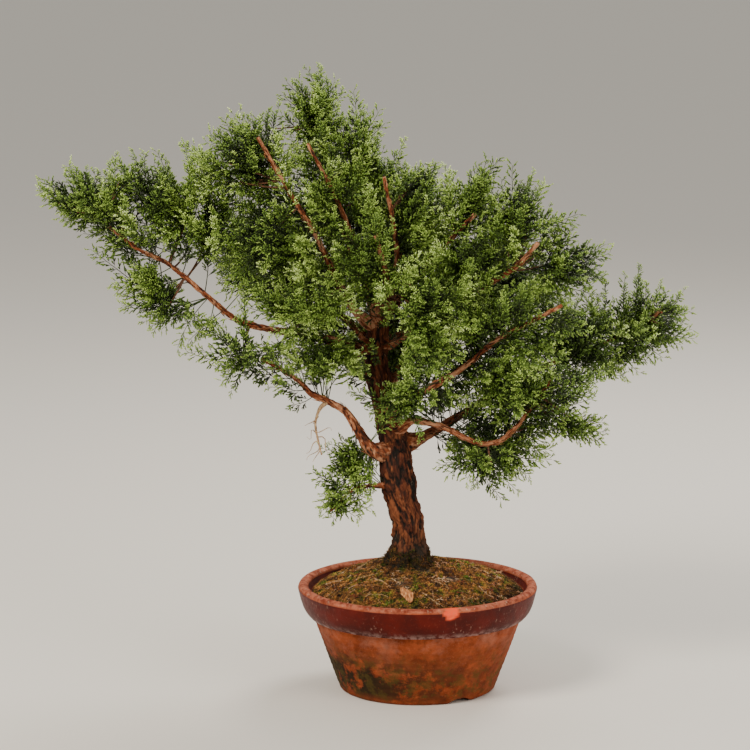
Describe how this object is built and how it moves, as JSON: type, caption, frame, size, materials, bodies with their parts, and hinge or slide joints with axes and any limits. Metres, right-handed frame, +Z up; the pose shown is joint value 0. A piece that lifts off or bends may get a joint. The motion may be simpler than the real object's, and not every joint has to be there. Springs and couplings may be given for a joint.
{
  "type": "bonsai tree in a pot",
  "caption": "Informal juniper bonsai with a leaning trunk and a wide feathery crown, in a round flared clay training pot with a glazed band under the rim.",
  "frame": {"origin": "middle of the whole object's box at the level of the pot's foot; the pot's axis stands 46 mm to the right and 18 mm to the front of it", "axes": "+X to the right along the longest spread of the crown, -Y towards the viewer who faces the tree's front, +Z up along the pot's axis"},
  "size_m": [0.6506, 0.288, 0.6247],
  "materials": {
    "glazed_clay": "matte orange-red fired clay, with a semi-gloss dark red-brown glazed band under a worn lip",
    "mesh_plastic": "dull black moulded plastic mesh",
    "clip_wire": "brown anodised wire",
    "gritty_soil": "dark moist grains",
    "moss": "short olive and gold-brown moss",
    "juniper_bark": "flaking red-brown bark with dark fissures",
    "dead_wood": "dry grey-brown wood",
    "juniper_foliage": "feathery cords of scale leaves, dark green inside and yellow-green at the tips"
  },
  "bodies": {
    "root": {"bark_chip": "dead_wood", "dead_twig": "dead_wood", "drain_mesh": "mesh_plastic", "foliage_apex": "juniper_foliage", "foliage_back_centre": "juniper_foliage", "foliage_back_left": "juniper_foliage", "foliage_back_low": "juniper_foliage", "foliage_back_right": "juniper_foliage", "foliage_centre": "juniper_foliage", "foliage_crest_left": "juniper_foliage", "foliage_crest_mid": "juniper_foliage", "foliage_crest_right": "juniper_foliage", "foliage_far_left": "juniper_foliage", "foliage_far_right": "juniper_foliage", "foliage_front": "juniper_foliage", "foliage_horn": "juniper_foliage", "foliage_inner_low": "juniper_foliage", "foliage_left_bridge": "juniper_foliage", "foliage_left_drape": "juniper_foliage", "foliage_left_front": "juniper_foliage", "foliage_left_low": "juniper_foliage", "foliage_left_mid": "juniper_foliage", "foliage_left_outer": "juniper_foliage", "foliage_left_under": "juniper_foliage", "foliage_right_core": "juniper_foliage", "foliage_right_droop": "juniper_foliage", "foliage_right_low": "juniper_foliage", "foliage_right_mid": "juniper_foliage", "foliage_right_outer": "juniper_foliage", "foliage_right_skirt": "juniper_foliage", "foliage_right_tip": "juniper_foliage", "foliage_right_upper": "juniper_foliage", "foliage_shoulder": "juniper_foliage", "foliage_trunk_left": "juniper_foliage", "foliage_twig_low": "juniper_foliage", "limb_apex": "juniper_bark", "limb_back_centre": "juniper_bark", "limb_back_left": "juniper_bark", "limb_back_right": "juniper_bark", "limb_centre": "juniper_bark", "limb_crest_left": "juniper_bark", "limb_crest_mid": "juniper_bark", "limb_front_stub": "juniper_bark", "limb_left_long": "juniper_bark", "limb_left_low": "juniper_bark", "limb_right_high": "juniper_bark", "limb_right_long": "juniper_bark", "limb_right_low": "juniper_bark", "limb_right_mid": "juniper_bark", "limb_right_upper": "juniper_bark", "litter_twig": "dead_wood", "mesh_clip": "clip_wire", "moss_back_left": "moss", "moss_back_right": "moss", "moss_front_left": "moss", "moss_front_right": "moss", "pot": "glazed_clay", "soil": "gritty_soil", "trunk": "juniper_bark", "twig_trunk_left": "juniper_bark"}
  },
  "joints": []
}
